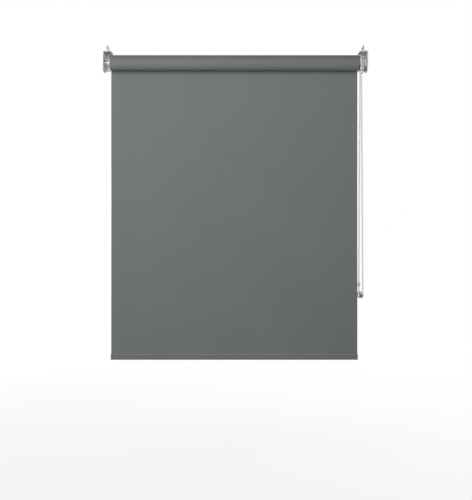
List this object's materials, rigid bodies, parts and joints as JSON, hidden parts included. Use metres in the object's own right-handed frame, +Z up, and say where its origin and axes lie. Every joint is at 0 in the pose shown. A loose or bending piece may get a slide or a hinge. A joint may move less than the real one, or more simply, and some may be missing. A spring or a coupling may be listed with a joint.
{
  "type": "roller blind",
  "caption": "Chain-operated grey roller blind with top-fix brackets, a beaded chain on a braked wheel, a sprung idle pin and a weighted hem.",
  "frame": {"origin": "midway between the outer faces of the two brackets, on the plane of the top faces of their feet, directly above the roller's axis", "axes": "+X to the end with the chain, -Y to the room, +Z up"},
  "size_m": [0.6, 0.0595, 0.7179],
  "materials": {
    "fabric": "matt plain weave, blackout coated, mid grey",
    "bracket": "satin light grey coat",
    "white_plastic": "satin moulded",
    "chain": "glossy white beads on white thread",
    "clear_plastic": "translucent moulded",
    "screw": "zinc plated",
    "spring_steel": "drawn wire",
    "aluminium": "extruded, satin"
  },
  "bodies": {
    "head": {"left_bracket": "bracket", "right_bracket": "bracket", "left_front_screw": "screw", "left_rear_screw": "screw", "right_front_screw": "screw", "right_rear_screw": "screw", "hub_core": "white_plastic", "chain_guard": "white_plastic", "retaining_clip": "spring_steel", "fabric_panel": "fabric", "bead_chain": "chain", "chain_tidy": "white_plastic", "tidy_screw": "screw"},
    "roller": {"roller_tube": "aluminium", "fabric_roll": "fabric", "drive_insert": "white_plastic", "chain_wheel": "white_plastic", "inner_brake_spring": "spring_steel", "outer_brake_spring": "spring_steel", "idle_plug": "white_plastic", "idle_pin_spring": "spring_steel"},
    "pin": {"idle_pin": "screw"},
    "hem": {"hem_pocket": "fabric", "hem_bar": "aluminium", "left_hem_cap": "white_plastic", "right_hem_cap": "white_plastic"},
    "ball": {"stop_ball_front": "white_plastic", "stop_ball_rear": "white_plastic"},
    "connector": {"chain_connector": "clear_plastic"}
  },
  "joints": [
    {"name": "roller_turn", "type": "hinge", "parent": "head", "child": "roller", "pos_m": [0, 0, -0.025], "axis": [1, 0, 0], "range_deg": [0, 2160], "deforming": ["bead_chain"]},
    {"name": "hem_lift", "type": "slide", "parent": "head", "child": "hem", "axis": [0, 0, 1], "range_m": [0, 0.6506], "deforming": ["fabric_panel"]},
    {"name": "stop_ball_run", "type": "slide", "parent": "head", "child": "ball", "axis": [0.0105, 0.0369, -0.9993], "range_m": [0, 0.4323]},
    {"name": "connector_run", "type": "slide", "parent": "head", "child": "connector", "axis": [0.0068, 0.0068, 1], "range_m": [0, 0.4323]},
    {"name": "idle_pin_press", "type": "slide", "parent": "roller", "child": "pin", "axis": [1, 0, 0], "range_m": [0, 0.008], "stiffness_N_per_m": 300, "springref_m": -0.004, "deforming": ["idle_pin_spring"]}
  ],
  "couplings": [
    {"joint": "hem_lift", "follows": "roller_turn", "m_per_rad": 0.01725},
    {"joint": "stop_ball_run", "follows": "roller_turn", "m_per_rad": 0.011459},
    {"joint": "connector_run", "follows": "roller_turn", "m_per_rad": 0.011459}
  ]
}
